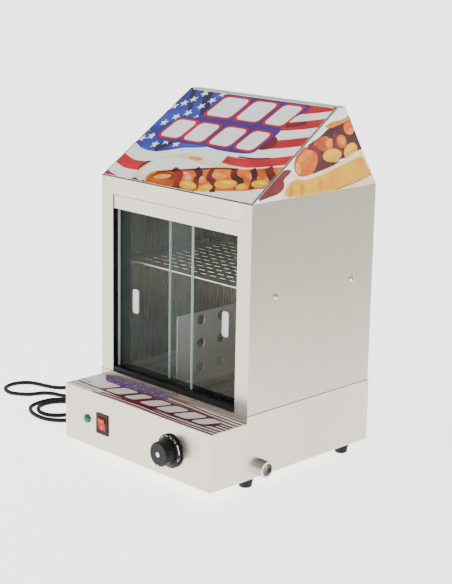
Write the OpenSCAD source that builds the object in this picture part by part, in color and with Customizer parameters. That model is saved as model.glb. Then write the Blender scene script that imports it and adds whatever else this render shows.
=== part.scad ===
// Hot dog steamer and display warmer: a water-heated base with a control box in front,
// and a glazed steel cabinet with a pitched roof. Millimetres, +Z up, front towards -Y.

/* [Base] */
// Width of the base and of the control box
body_w = 316; // [270:1:420]
// Depth of the base, without the control box
body_d = 264; // [230:1:360]
// Height of the base
base_h = 95; // [88:1:140]
// Thickness of the steel sheet
sheet = 1; // [0.8:0.1:1.4]
// How far the cabinet's walls go down inside the base
lap_h = 10; // [6:1:16]
// Gap between a sheet and the sheet that it fits inside
fit_gap = 0.25; // [0.15:0.05:0.5]
// Width of the ledge inside the base that the tank hangs on
ledge_w = 14; // [10:1:20]
// Width of the return flange along the bottom edges
return_w = 10; // [8:1:12]

/* [Cabinet] */
// Height of the straight walls, from the base to the eaves
wall_h = 301; // [260:1:400]
// Height of the roof above the eaves
roof_h = 119; // [80:1:160]
// Distance from the cabinet's front to the front edge of the ridge
ridge_y = 176; // [130:1:190]
// Width of the flat strip along the ridge
ridge_w = 16; // [14:1:24]
// How far each gable leans in between the eaves and the ridge
gable_lean = 6; // [1:0.5:10]
// Width of the front frame's face
frame_face = 25.5; // [18:0.5:35]
// Height of the header strip under the top rail
header_h = 21; // [16:0.5:30]
// Gap round the header strip
header_gap = 1.2; // [0.5:0.1:1.5]
// Gap between the roof lid and the steel round it
lid_gap = 1.2; // [0.8:0.1:2]
// Depth of the folded edges under the roof lid
lid_lip = 8; // [5:1:12]
// Thickness of the printed films
film = 0.3; // [0.2:0.05:0.5]

/* [Sliding doors] */
// Thickness of the glass
glass = 4; // [3:0.5:5]
// How much the two doors overlap when closed
door_overlap = 61; // [40:1:90]
// Distance from the cabinet's front to the front groove's middle
groove_y = 12; // [10:0.5:14]
// Distance between the two grooves
groove_pitch = 12; // [11:0.5:15]
// Gap on each side of the glass in its groove
groove_gap = 0.5; // [0.3:0.1:1]
// Height of the bottom track
track_h = 8; // [6:1:12]
// Height of the top track
top_track_h = 20; // [16:1:26]
// Depth of the black side jambs
jamb_d = 36; // [32:1:45]
// Height of the finger pulls' middle above the base's underside
pull_z = 212; // [180:1:260]
// Distance from a door's outer edge to its finger pull's middle
pull_inset = 42; // [25:1:60]
// Width of a finger pull
pull_w = 12.5; // [8:0.5:18]
// Height of a finger pull
pull_h = 37; // [20:1:50]

/* [Inside] */
// Height of the shelf's top above the base's underside
shelf_z = 263; // [220:1:300]
// Depth of the shelf's folded edges
shelf_lip = 7; // [5:1:10]
// Distance from the cabinet's front to the shelf
shelf_setback = 41; // [40:1:60]
// Length of a slot
slot_l = 12; // [8:1:16]
// Width of a slot
slot_w = 4; // [2.5:0.5:5]
// Distance between slots across the cabinet
slot_px = 20; // [18:1:26]
// Distance between slots from front to back
slot_py = 16; // [12:1:24]
// Height of the partition
partition_h = 106; // [80:1:130]
// Depth of the partition, front to back
partition_d = 190; // [150:1:200]
// Distance of the partition from the cabinet's middle, to the left
partition_x = 34; // [25:1:45]
// Diameter of the partition's holes
partition_hole = 16; // [10:1:20]
// Distance of the middle rail's right edge from the cabinet's middle
rail_right = 6; // [0:1:20]
// Height of the tank's underside above the base's underside
tank_lift = 3; // [2.5:0.5:6]
// Diameter of the heating tube
element_d = 8; // [6:0.5:10]
// Half the distance between the heating tube's straight runs
element_r = 55; // [40:1:65]

/* [Control box] */
// Depth of the control box
box_d = 70; // [60:1:95]
// Height of the control box
box_h = 85; // [80:1:87]
// Height of the controls' middle above the base's underside
control_z = 41; // [38:1:46]
// Distance of the pilot light from the left side
pilot_inset = 51; // [30:1:60]
// Distance of the switch from the left side
switch_inset = 86; // [82:1:110]
// Distance of the dial from the right side
dial_inset = 81; // [60:1:100]
// Diameter of the pilot light
pilot_d = 13.6; // [10:0.2:16]
// Width of the switch's bezel
switch_w = 25.5; // [20:0.5:28]
// Height of the switch's bezel
switch_h = 31.5; // [28:0.5:34]
// Diameter of the dial's skirt
skirt_d = 50; // [44:1:56]
// Diameter of the dial's knob
knob_d = 36; // [30:1:40]
// How far the dial stands out of the control box
dial_out = 25; // [20:0.5:30]
// Diameter of the thermostat's shaft
shaft_d = 6; // [5:0.5:7]

/* [Drain, feet and lead] */
// Outer diameter of the drain socket
drain_d = 24.5; // [20:0.5:26]
// Bore of the drain socket
drain_bore = 18.6; // [14:0.2:19]
// How far the drain socket stands out of the base
drain_out = 13.5; // [10:0.5:25]
// Clearance between the drain's nut and the tank's floor
drain_clear = 0.5; // [0.3:0.1:3]
// Distance of the drain's middle from the base's front
drain_y = 30; // [28:1:60]
// Outer diameter of the drain's threaded spigot
spigot_d = 14; // [12:0.5:15]
// Height of the feet
foot_h = 16; // [10:1:25]
// Diameter of a foot at the top
foot_top_d = 24; // [20:1:30]
// Diameter of a foot at the bottom
foot_low_d = 19; // [16:1:22]
// Distance of a foot's middle from the base's sides and front
foot_inset = 16; // [16:1:30]
// Distance of a rear foot's middle from the base's back
rear_foot_inset = 40; // [16:1:60]
// Diameter of the bolts that hold the shelf's brackets
bolt_d = 5; // [4:0.5:6]
// Height of a side bolt's head
bolt_head_h = 3; // [2:0.5:4]
// Diameter of the mains cord
cord_d = 6.6; // [6:0.1:7.5]
// Distance of the cable gland from the base's left side
gland_inset = 38; // [35:1:60]
// Height of the cable gland above the base's underside
gland_z = 20; // [18:1:26]

/* [Hidden] */
$fn = 48;

// Levels, from the surface that the feet stand on
z0 = foot_h;
z_seam = z0 + base_h;
z_ledge = z_seam - lap_h;
z_floor = z_ledge + sheet;
z_eave = z_seam + wall_h;
z_ridge = z_eave + roof_h;
z_header = z_eave - frame_face - header_h;

// The base's inner half width, and the cabinet's outer walls
in_x = body_w / 2 - sheet;
cab_x = in_x - fit_gap;
cab_in = cab_x - sheet;
cab_y0 = sheet + fit_gap;
cab_y1 = body_d - sheet - fit_gap;
open_x = cab_x - frame_face;

// The roof: slopes, gables and the lid's hinge line
lean_a = atan(gable_lean / roof_h);
front_y = cab_y0 + ridge_y;
rear_y = front_y + ridge_w;
front_a = atan(roof_h / ridge_y);
front_l = norm([roof_h, ridge_y]);
rear_run = cab_y1 - rear_y;
rear_a = atan(roof_h / rear_run);
rear_l = norm([roof_h, rear_run]);
roof_x = cab_in - lid_gap;
top_x = roof_x - gable_lean;
gable_h = roof_h / cos(lean_a);
hinge_r = 1.75;
pin_r = 0.9;
pin_gap = 0.06;
hinge_z = z_ridge - hinge_r;
hinge_leaf_t = 0.8;
hinge_leaf_w = 13;
hinge_clear = 0.7;
knuckles = 9;
fold_gap = 0.1;
fold_l = 9;

// The doors and their tracks
jamb_x = open_x + 0.5;
jamb_t = 3;
track_y0 = cab_y0 + sheet + 0.2;
track_y1 = cab_y0 + groove_y + groove_pitch + groove_w() / 2 + 1.5;
track_floor = 2;
glass_lift = 0.2;
glass_up = 8;
door_play = 0.5;
door_w = jamb_x - door_play + door_overlap / 2;
pull_t = 1.6;

// Inside the cabinet and the tank
bracket_t = 1.2;
bracket_h = 16;
bracket_w = 14;
nut_h = 3.2;
shelf_x = cab_in - bracket_t - nut_h - 1.5;
shelf_y0 = cab_y0 + shelf_setback;
shelf_y1 = cab_y1 - sheet - 2;
shelf_top = z0 + shelf_z;
shelf_hem = 2;
bolt_z = shelf_top - shelf_lip + 4;
bolt_ys = [cab_y0 + 52, cab_y1 - 48];
tray_y0 = cab_y0 + shelf_setback + 1;
tray_y1 = cab_y1 - sheet - 1.5;
tray_lip = 5;
tray_gap = 0.5;
tray_x = cab_in - 1;
tray_step = 23;
rail_x0 = -partition_x - 4;
tank_x = in_x - ledge_w - 1;
tank_y0 = sheet + ledge_w + 1;
tank_y1 = body_d - sheet - ledge_w - 1;
tank_z = z0 + tank_lift;
element_z = tank_z + 20;
drain_nut = spigot_d + 3;
drain_z = tank_z + sheet + drain_nut / 2 + drain_clear;

// The controls
face_y = -box_d;
ctrl_z = z0 + control_z;
bulb_z = ctrl_z - 12;
pilot_x = -body_w / 2 + pilot_inset;
switch_x = -body_w / 2 + switch_inset;
dial_x = body_w / 2 - dial_inset;
bulb_x = dial_x + 3;
bezel_t = 2;
skirt_t = 4;
skirt_off = 2;
rocker_w = 15;
rocker_r = 10.8;
rocker_gap = 0.4;
rocker_in = 2.2;
rocker_up = 36;
rocker_down = 20;
trunnion_d = 3;

// The mains cord: a route laid by hand, joined by a smooth curve
gland_x = -body_w / 2 + gland_inset;
gland_h = z0 + gland_z;
relief_l = 30;
relief_d = 12;
cord_low = 3.5;
ROUTE = [
    [-120, 299, 36], [-120, 314, 35], [-123, 332, 27], [-132, 350, 14],
    [-150, 366, 5], [-176, 373, cord_low], [-213, 365, cord_low], [-265, 335, cord_low],
    [-307, 279, cord_low], [-337, 216, cord_low], [-360, 150, cord_low], [-370, 106, cord_low],
    [-384, 88, cord_low], [-404, 81, cord_low], [-435, 71, cord_low], [-448, 47, cord_low],
    [-438, 22, cord_low], [-412, 14, cord_low], [-386, 30, cord_low], [-376, 51, cord_low],
    [-363, 63, cord_low], [-339, 71, cord_low], [-326, 89, cord_low], [-327, 113, cord_low],
    [-327, 146, cord_low], [-307, 164, cord_low], [-277, 158, cord_low], [-264, 130, cord_low],
    [-280, 98, cord_low], [-306, 82, cord_low], [-325, 58, cord_low], [-337, 42, cord_low],
    [-339, 17, cord_low], [-332, -4, cord_low], [-315, -18, cord_low], [-293, -25, cord_low],
    [-267, -24, cord_low], [-247, -12, cord_low], [-234, 7, cord_low], [-227, 27, cord_low],
    [-205, 50, cord_low], [-203, 81, cord_low], [-224, 100, cord_low], [-251, 95, cord_low],
    [-266, 68, cord_low], [-260, 37, cord_low], [-263, 9, cord_low], [-279, -8, cord_low],
    [-301, -10, cord_low], [-321, 3, cord_low], [-328, 22, cord_low], [-324, 41, cord_low],
    [-311, 57, cord_low], [-281, 83, cord_low], [-233, 134, cord_low], [-201, 173, cord_low],
    [-185, 228, cord_low], [-184, 276, cord_low], [-171, 309, cord_low], [-143, 322, cord_low],
    [-110, 322, 4.5], [-80, 316, 9], [-55, 312, 13]];
cord_sides = 10;
long_step = 34;

// Where the middle of the whole object's outline is
left_reach = max(body_w / 2, cab_x + bolt_head_h);
right_reach = body_w / 2 + drain_out;
middle_x = (right_reach - left_reach) / 2;
middle_y = (body_d - box_d - dial_out) / 2;

// Colours
STEEL = [0.82, 0.80, 0.75];
DULL = [0.62, 0.61, 0.57];
BLACK = [0.07, 0.07, 0.08];
RED = [0.75, 0.12, 0.10];
WHITE = [0.93, 0.92, 0.90];
BRASS = [0.78, 0.62, 0.30];

function groove_w() = glass + 2 * groove_gap;

// Puts a piece in the frame whose origin is under the middle of the object
module place() translate([-middle_x, -middle_y, 0]) children();

// A block from one corner to the opposite corner
module block(low, high) translate(low) cube(high - low);

// A ring-shaped flange, between an outer rectangle and an inner one
module flange(low, high, width) difference() {
    block(low, high);
    block([low[0] + width, low[1] + width, low[2] - 1], [high[0] - width, high[1] - width, high[2] + 1]);
}

// A round bar along an axis: "x", "y" or "z"
module bar(from, length, d, axis) translate(from)
    rotate(axis == "x" ? [0, 90, 0] : axis == "y" ? [-90, 0, 0] : [0, 0, 0])
        cylinder(h = length, d = d);

// A hexagonal nut along an axis, across flats a
module nut(from, length, a, bore, axis) translate(from)
    rotate(axis == "x" ? [0, 90, 0] : axis == "y" ? [-90, 0, 0] : [0, 0, 0])
        difference() {
            rotate(axis == "x" ? 30 : 0) cylinder(h = length, r = a / 2 / cos(30), $fn = 6);
            translate([0, 0, -1]) cylinder(h = length + 2, d = bore);
        }

// Slots in rows, cut down through a sheet between two corners
module slots(x0, x1, y0, y1, z) {
    nx = floor((x1 - x0 - slot_l) / slot_px) + 1;
    ny = floor((y1 - y0 - slot_w) / slot_py) + 1;
    fx = (x0 + x1) / 2 - (nx - 1) * slot_px / 2;
    fy = (y0 + y1) / 2 - (ny - 1) * slot_py / 2;
    for (i = [0 : nx - 1], j = [0 : ny - 1])
        translate([fx + i * slot_px - slot_l / 2, fy + j * slot_py - slot_w / 2, z - 1])
            cube([slot_l, slot_w, sheet + 2]);
}

// A round wire through a list of points
module wire(points, d) for (i = [0 : len(points) - 2]) hull() {
    translate(points[i]) sphere(d = d, $fn = 16);
    translate(points[i + 1]) sphere(d = d, $fn = 16);
}

module foot_places() for (x = [-1, 1], y = [foot_inset, body_d - rear_foot_inset])
    translate([x * (body_w / 2 - foot_inset), y, 0]) children();

// ---- Base ----

module base_housing() place() color(STEEL) difference() {
    union() {
        difference() {
            block([-body_w / 2, 0, z0], [body_w / 2, body_d, z_seam]);
            block([-in_x, sheet, z0 - 1], [in_x, body_d - sheet, z_seam + 1]);
        }
        flange([-in_x - 0.1, sheet - 0.1, z_ledge - sheet],
            [in_x + 0.1, body_d - sheet + 0.1, z_ledge], ledge_w);
        flange([-in_x - 0.1, sheet - 0.1, z0 + sheet], [in_x + 0.1, body_d - sheet + 0.1, z0 + 2 * sheet],
            return_w);
    }
    block([-in_x + 3, -1, z0 + 14], [in_x - 3, sheet + 0.01, z0 + box_h - 20]);
    bar([in_x - 1, drain_y, drain_z], sheet + 2, spigot_d + 0.4, "x");
    bar([gland_x, body_d - sheet - 1, gland_h], sheet + 2, relief_d + 0.4, "y");
}

module bottom_cover() place() color(DULL) difference() {
    block([-in_x + fit_gap, sheet + fit_gap, z0], [in_x - fit_gap, body_d - sheet - fit_gap, z0 + sheet]);
    for (x = [-1, 1], k = [-3 : 3]) translate([x * 70, body_d / 2 + k * 12, z0 - 1])
        translate([-25, -2, 0]) cube([50, 4, sheet + 2]);
    foot_places() translate([0, 0, z0 - 1]) cylinder(h = sheet + 2, d = 4.4);
}

module feet() place() color(BLACK) foot_places() difference() {
    rotate_extrude() polygon([[0, 0], [foot_low_d / 2 - 1.2, 0], [foot_low_d / 2, 1.2],
        [foot_top_d / 2, foot_h - 1], [foot_top_d / 2, foot_h], [0, foot_h]]);
    translate([0, 0, -1]) cylinder(h = foot_h + 2, d = 4.4);
    translate([0, 0, -1]) cylinder(h = 6, d = 9.5);
}

module foot_screws() place() color(DULL) foot_places() union() {
    translate([0, 0, 2.5]) cylinder(h = 2.5, d = 8);
    translate([0, 0, 4.9]) cylinder(h = tank_z - 0.3 - 4.9, d = 4);
    translate([0, 0, foot_h + sheet + 0.01]) cylinder(h = tank_z - 0.5 - foot_h - sheet, r = 3.8, $fn = 6);
}

module water_tank() place() color(STEEL) difference() {
    union() {
        block([-tank_x, tank_y0, tank_z], [tank_x, tank_y1, z_ledge + 0.5]);
        block([-cab_in + fit_gap, cab_y0 + sheet + fit_gap, z_ledge],
            [cab_in - fit_gap, cab_y1 - sheet - fit_gap, z_floor]);
    }
    block([-tank_x + sheet, tank_y0 + sheet, tank_z + sheet],
        [tank_x - sheet, tank_y1 - sheet, z_floor + 1]);
    bar([tank_x - sheet - 1, drain_y, drain_z], sheet + 2, spigot_d + 0.4, "x");
    for (x = [-1, 1]) bar([x * element_r, tank_y0 - 1, element_z], sheet + 2, element_d + 0.4, "y");
    bar([bulb_x, tank_y0 - 1, bulb_z], sheet + 2, 4.4, "y");
}

module heating_element() place() color(DULL) {
    back = tank_y1 - element_r - 25;
    union() {
        for (x = [-1, 1]) bar([x * element_r, -14, element_z], back + 14.01, element_d, "y");
        translate([0, back, element_z]) rotate_extrude(angle = 180)
            translate([element_r, 0]) circle(d = element_d);
        for (x = [-1, 1]) bar([x * element_r, -26, element_z], 14, 4, "y");
    }
}

module element_nuts() place() color(BRASS) for (x = [-1, 1])
    nut([x * element_r, tank_y0 - 5.2, element_z], 5, 17, element_d + 0.1, "y");

module thermostat_bulb() place() color(BRASS) union() {
    bar([bulb_x, tank_y0 + 12, bulb_z], 90, 6, "y");
    bar([bulb_x, face_y + 26, bulb_z], tank_y0 + 12.5 - face_y - 26, 2.4, "y");
    nut([bulb_x, tank_y0 - 4.2, bulb_z], 4, 10, 2.2, "y");
}

module drain_socket() place() color(DULL) difference() {
    union() {
        bar([body_w / 2, drain_y, drain_z], drain_out, drain_d, "x");
        bar([tank_x - 9, drain_y, drain_z], body_w / 2 - tank_x + 9.5, spigot_d, "x");
    }
    bar([body_w / 2 + 1.5, drain_y, drain_z], drain_out, drain_bore, "x");
    bar([tank_x - 10, drain_y, drain_z], body_w / 2 - tank_x + 15, spigot_d - 4, "x");
}

// The backnut in the tank, the rubber seal outside it, and the locknut inside the base
module drain_fittings() place() color(BRASS) {
    nut([tank_x - sheet - 5, drain_y, drain_z], 4.8, drain_nut, spigot_d + 0.1, "x");
    nut([in_x - 5.2, drain_y, drain_z], 5, drain_nut, spigot_d + 0.1, "x");
    difference() {
        bar([tank_x + 0.05, drain_y, drain_z], 3, 19, "x");
        bar([tank_x - 1, drain_y, drain_z], 5, spigot_d + 0.1, "x");
    }
}

module terminal_block() place() color(WHITE) difference() {
    block([-in_x + 1, body_d - 70, z0 + 30], [-in_x + 13, body_d - 34, z0 + 46]);
    for (k = [0 : 2]) bar([-in_x + 7, body_d - 64 + k * 12, z0 + 40], 7, 5, "z");
}

// The lead from the strain relief to the terminals, and on to the control box
module supply_lead() place() color(BLACK) {
    lead_x = -in_x + 7;
    lead_z = z0 + 38;
    lead_d = cord_d - 0.6;
    wire([[lead_x, body_d - 70 - lead_d / 2, lead_z], [lead_x, face_y + 24, lead_z],
        [switch_x - 3.1 - lead_d / 2, face_y + 24, ctrl_z]], lead_d);
    bar([gland_x, body_d - 8, gland_h], 8, lead_d, "y");
    wire([[gland_x, body_d - 8, gland_h], [-in_x + 9, body_d - 10, gland_h + 6],
        [lead_x, body_d - 30, z0 + 38]], lead_d);
}

// The wires from the switch to the thermostat, and on to the heating tube
module control_wires() place() color(BLACK) {
    wire([[switch_x + 4.6, face_y + 24, ctrl_z + 8], [0, face_y + 40, ctrl_z + 14],
        [dial_x - 9.9, face_y + 32, ctrl_z]], 2.4);
    wire([[dial_x + 8, face_y + 35.5, ctrl_z], [element_r + 4, -30, element_z + 6],
        [element_r, -27.3, element_z]], 2.4);
}

// ---- Control box ----

module control_box() place() color(STEEL) difference() {
    block([-body_w / 2, face_y, z0], [body_w / 2, -0.05, z0 + box_h]);
    block([-in_x, face_y + sheet, z0 - 1], [in_x, 1, z0 + box_h - sheet]);
    block([switch_x - switch_w / 2 + 1.5, face_y - 1, ctrl_z - switch_h / 2 + 1.5],
        [switch_x + switch_w / 2 - 1.5, face_y + sheet + 1, ctrl_z + switch_h / 2 - 1.5]);
    bar([pilot_x, face_y - 1, ctrl_z], sheet + 2, pilot_d - 3, "y");
    bar([dial_x, face_y - 1, ctrl_z], sheet + 2, shaft_d + 3, "y");
}

module control_box_floor() place() color(DULL) difference() {
    block([-in_x + fit_gap, face_y + sheet + fit_gap, z0], [in_x - fit_gap, -0.3, z0 + sheet]);
    for (k = [-5 : 5]) translate([k * 22 - 7, face_y + 22, z0 - 1]) cube([14, 3, sheet + 2]);
}

module control_film() place() color([0.80, 0.30, 0.32])
    block([-body_w / 2 + 0.5, face_y + 0.5, z0 + box_h], [body_w / 2 - 0.5, -0.6, z0 + box_h + film]);

module switch_bezel() place() color(BLACK) translate([switch_x, face_y, ctrl_z]) difference() {
    union() {
        block([-switch_w / 2, -bezel_t, -switch_h / 2], [switch_w / 2, 0, switch_h / 2]);
        block([-switch_w / 2 + 2, -0.1, -switch_h / 2 + 2], [switch_w / 2 - 2, 18, switch_h / 2 - 2]);
        for (z = [-8, 0, 8]) block([-3, 17.9, z - 0.4], [3, 26, z + 0.4]);
    }
    block([-rocker_w / 2 - rocker_gap, -bezel_t - 1, -rocker_r - rocker_gap],
        [rocker_w / 2 + rocker_gap, 10, rocker_r + rocker_gap]);
    bar([-rocker_w / 2 - 2.3, rocker_in, 0], rocker_w + 4.6, trunnion_d + 0.1, "x");
}

// The rocker turns on trunnions along X. Its ends are arcs round them, and its two faces meet
// at a shallow angle, with the upper one standing out
module switch_rocker() place() color(RED) translate([switch_x, face_y + rocker_in, ctrl_z]) union() {
    rotate([90, 0, 90]) translate([0, 0, -rocker_w / 2]) linear_extrude(rocker_w) polygon(concat(
        [for (a = [rocker_up : -8 : -28]) rocker_r * [-sin(a), cos(a)]],
        [[5.5, 0]],
        [for (a = [-28 : 8 : rocker_down]) rocker_r * [-sin(a), -cos(a)]],
        [[-4.6, 0]]));
    bar([-rocker_w / 2 - 2, 0, 0], rocker_w + 4, trunnion_d, "x");
}

module pilot_body() place() color(WHITE) difference() {
    union() {
        bar([pilot_x, face_y + 0.05, ctrl_z], 20, pilot_d - 3.3, "y");
        nut([pilot_x, face_y + sheet + 0.05, ctrl_z], 4, 14, pilot_d - 3.4, "y");
    }
    bar([pilot_x, face_y - 1, ctrl_z], 8, pilot_d - 6, "y");
}

module pilot_lens() place() color([0.05, 0.45, 0.28]) translate([pilot_x, face_y - 0.03, ctrl_z])
    rotate([90, 0, 0]) rotate_extrude() polygon([[0, -5], [pilot_d / 2 - 3.2, -5],
        [pilot_d / 2 - 3.2, 0], [pilot_d / 2, 0],
        [pilot_d / 2, 1.4], [pilot_d / 2 - 1.4, 3.2], [pilot_d / 2 - 3.6, 4.2], [0, 4.8]]);

module dial_skirt() place() color(BLACK) translate([dial_x, face_y - skirt_off, ctrl_z]) rotate([90, 0, 0])
    difference() {
        rotate_extrude() polygon([[0, 0], [skirt_d / 2 - 0.8, 0], [skirt_d / 2, 0.8],
            [skirt_d / 2 - 0.4, 1.6], [knob_d / 2 + 1, skirt_t], [0, skirt_t]]);
        translate([0, 0, -1]) cylinder(h = skirt_t + 2, d = shaft_d + 0.1);
    }

module dial_knob() place() color(BLACK) translate([dial_x, face_y - skirt_off - skirt_t, ctrl_z])
    rotate([90, 0, 0]) {
    knob_l = dial_out - skirt_off - skirt_t - 0.6;
    difference() {
        rotate_extrude() polygon([[0, 0], [knob_d / 2, 0], [knob_d / 2, knob_l - 1.6],
            [knob_d / 2 - 1.6, knob_l], [0, knob_l]]);
        for (a = [0 : 30 : 330]) rotate(a + 15) translate([knob_d / 2 + 1.9, 0, -1])
            cylinder(h = knob_l + 2, d = 5);
        translate([0, 0, -1]) cylinder(h = knob_l - 4, d = shaft_d + 0.1);
        translate([0, 0, knob_l - 2]) cylinder(h = 3, d = 7.1);
        translate([-0.8, -knob_d / 2 - 1, knob_l - 3]) cube([1.6, 3.4, 4]);
    }
}

module dial_cap() place() color(WHITE) translate([dial_x, face_y - dial_out, ctrl_z]) rotate([-90, 0, 0])
    difference() {
        cylinder(h = 2.5, d = 7);
        translate([0, 0, -1]) cylinder(h = 1.6, d = 4);
    }

module dial_shaft() place() color(BRASS)
    bar([dial_x, face_y - dial_out + 6, ctrl_z], dial_out + 2, shaft_d, "y");

module thermostat_body() place() color(DULL) difference() {
    union() {
        bar([dial_x, face_y + sheet + 0.05, ctrl_z], 8, 12, "y");
        block([dial_x - 18, face_y + 8, ctrl_z - 16], [dial_x + 18, face_y + 26, ctrl_z + 16]);
        for (x = [-8, 8]) block([dial_x + x - 0.4, face_y + 25.9, ctrl_z - 3],
            [dial_x + x + 0.4, face_y + 34, ctrl_z + 3]);
    }
    bar([dial_x, face_y - 1, ctrl_z], 13, shaft_d + 0.1, "y");
}

// ---- Cabinet ----

// One side wall and its gable, which leans in from the eaves
module side_wall() union() {
    block([cab_in, cab_y0 + sheet, z_ledge], [cab_x, cab_y1 - sheet, z_eave]);
    translate([cab_x, 0, z_eave]) rotate([0, -lean_a, 0]) rotate([90, 0, 90]) translate([0, 0, -sheet])
        linear_extrude(sheet) polygon([[cab_y0, 0], [cab_y1, 0], [rear_y, gable_h], [front_y, gable_h]]);
}

module bolt_holes() for (y = bolt_ys) bar([cab_in - 1, y, bolt_z], sheet + 2, bolt_d + 0.4, "x");

module right_side() place() color(STEEL) difference() {
    side_wall();
    bolt_holes();
}

module left_side() place() color(STEEL) mirror([1, 0, 0]) difference() {
    side_wall();
    bolt_holes();
}

module gable_film() translate([cab_x, 0, z_eave]) rotate([0, -lean_a, 0]) rotate([90, 0, 90])
    linear_extrude(film) polygon([[cab_y0 + 2.5, 1.2], [cab_y1 - 2.5, 1.2], [rear_y - 1, gable_h - 1.5],
        [front_y + 1, gable_h - 1.5]]);

module gable_films() place() color([0.90, 0.60, 0.30])
    for (side = [0, 1]) mirror([side, 0, 0]) gable_film();

module back_panel() place() color(STEEL)
    block([-cab_x, cab_y1 - sheet, z_ledge], [cab_x, cab_y1, z_eave]);

// The steep slope at the back, with a fold inside the ridge cap
module rear_roof() place() color(STEEL) translate([0, cab_y1, z_eave]) rotate([-rear_a, 0, 0])
    mirror([0, 1, 0]) translate([0, 0, -sheet]) linear_extrude(sheet)
        polygon([[-roof_x, 1], [roof_x, 1], [top_x, rear_l - 1.2], [-top_x, rear_l - 1.2]]);

// The flat strip along the ridge, folded down under the rear slope
module ridge_cap() place() color(STEEL) {
    down = [cos(rear_a), -sin(rear_a)];
    out = [sin(rear_a), cos(rear_a)];
    top = [rear_y, z_ridge];
    under = sheet + fold_gap;
    inner = under + sheet;
    translate([-top_x, 0, 0]) rotate([90, 0, 90]) linear_extrude(2 * top_x) polygon([
        [front_y + hinge_r + hinge_clear, z_ridge], top, top - under * out,
        top - under * out + fold_l * down, top - inner * out + fold_l * down,
        top - inner * out + (sheet - inner * cos(rear_a)) / sin(rear_a) * down,
        [front_y + hinge_r + hinge_clear, z_ridge - sheet]]);
}

// A post of the front frame, mitred at its top
module stile() translate([0, cab_y0 + sheet, 0]) rotate([90, 0, 0]) linear_extrude(sheet)
    polygon([[open_x, z_ledge], [cab_x, z_ledge], [cab_x, z_eave], [open_x, z_eave - frame_face]]);

module right_stile() place() color(STEEL) stile();

module left_stile() place() color(STEEL) mirror([1, 0, 0]) stile();

module top_rail() place() color(STEEL) union() {
    translate([0, cab_y0 + sheet, 0]) rotate([90, 0, 0]) linear_extrude(sheet)
        polygon([[-open_x, z_eave - frame_face], [open_x, z_eave - frame_face],
            [cab_x, z_eave], [-cab_x, z_eave]]);
    block([-cab_in + 1, cab_y0 + sheet - 0.1, z_eave - sheet], [cab_in - 1, cab_y0 + 12, z_eave]);
    block([-open_x + 1, cab_y0 + sheet - 0.1, z_eave - frame_face],
        [open_x - 1, cab_y0 + 10, z_eave - frame_face + sheet]);
}

module header_strip() place() color(STEEL) union() {
    block([-open_x + header_gap, cab_y0 + sheet + 0.6, z_header],
        [open_x - header_gap, cab_y0 + 2 * sheet + 0.6, z_eave - frame_face - header_gap]);
    block([-open_x + header_gap, cab_y0 + sheet + 0.6, z_header],
        [open_x - header_gap, cab_y0 + groove_y - groove_w() / 2 - 1, z_header + sheet]);
}

// An upturned channel under the tracks, with a lip behind it that the trays rest on
module door_sill() place() color(DULL) union() {
    lip_x = tank_x - sheet - 0.5;
    difference() {
        block([-cab_in + fit_gap, cab_y0 + sheet + fit_gap, z_floor], [cab_in - fit_gap, shelf_y0, z_seam]);
        block([-cab_in - 1, cab_y0 + 2 * sheet + fit_gap, z_floor - 1],
            [cab_in + 1, shelf_y0 - sheet, z_seam - sheet]);
    }
    block([-lip_x, shelf_y0 - sheet, z_floor - sheet], [lip_x, shelf_y0, z_floor + 1]);
    block([-lip_x, shelf_y0 - sheet, z_floor - sheet], [lip_x, shelf_y0 + 10, z_floor]);
}

// The middles of the two grooves
groove_ys = [cab_y0 + groove_y, cab_y0 + groove_y + groove_pitch];

module bottom_track() place() color(BLACK) difference() {
    block([-jamb_x + 0.1, track_y0, z_seam], [jamb_x - 0.1, track_y1, z_seam + track_h]);
    for (y = groove_ys) block([-jamb_x - 1, y - groove_w() / 2, z_seam + track_floor],
        [jamb_x + 1, y + groove_w() / 2, z_seam + track_h + 1]);
}

module top_track() place() color(BLACK) difference() {
    block([-jamb_x + 0.1, cab_y0 + groove_y - groove_w() / 2 - 1, z_header + 1.2],
        [jamb_x - 0.1, track_y1, z_header + top_track_h]);
    for (y = groove_ys) block([-jamb_x - 1, y - groove_w() / 2, z_header],
        [jamb_x + 1, y + groove_w() / 2, z_header + top_track_h - 3]);
}

// A black side channel between the frame and the side wall
module jamb() difference() {
    block([jamb_x, track_y0, z_seam], [cab_in - 0.3, cab_y0 + jamb_d, z_header + top_track_h]);
    block([jamb_x + jamb_t, track_y0 + 2, z_seam - 1],
        [cab_in + 1, cab_y0 + jamb_d - jamb_t, z_header + top_track_h + 1]);
}

module right_jamb() place() color(BLACK) jamb();

module left_jamb() place() color(BLACK) mirror([1, 0, 0]) jamb();

module door_glass(x0, y) block([x0, y - glass / 2, z_seam + track_floor + glass_lift],
    [x0 + door_w, y + glass / 2, z_header + glass_up]);

// A ground finger pull: a shallow oval dish on the front of the glass
module door_pull(x, y) translate([x, y - glass / 2 - 0.02, z0 + pull_z]) rotate([90, 0, 0]) difference() {
    linear_extrude(pull_t) pull_outline(0);
    translate([0, 0, 0.6]) linear_extrude(pull_t) pull_outline(1.6);
}

module pull_outline(inside) {
    w = pull_w / 2 - inside;
    h = pull_h / 2 - inside;
    r = 4 - inside / 2;
    union() {
        translate([-w, -h + r]) square([2 * w, 2 * h - 2 * r]);
        translate([-w + r, -h]) square([2 * w - 2 * r, 2 * h]);
        for (x = [-1, 1], y = [-1, 1]) translate([x * (w - r), y * (h - r)]) circle(r = r);
    }
}

module left_door_glass() place() color([0.75, 0.85, 0.80, 0.4])
    door_glass(-jamb_x + door_play, groove_ys[0]);

module left_door_pull() place() color(WHITE)
    door_pull(-jamb_x + door_play + pull_inset, groove_ys[0]);

module right_door_glass() place() color([0.75, 0.85, 0.80, 0.4])
    door_glass(jamb_x - door_play - door_w, groove_ys[1]);

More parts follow.
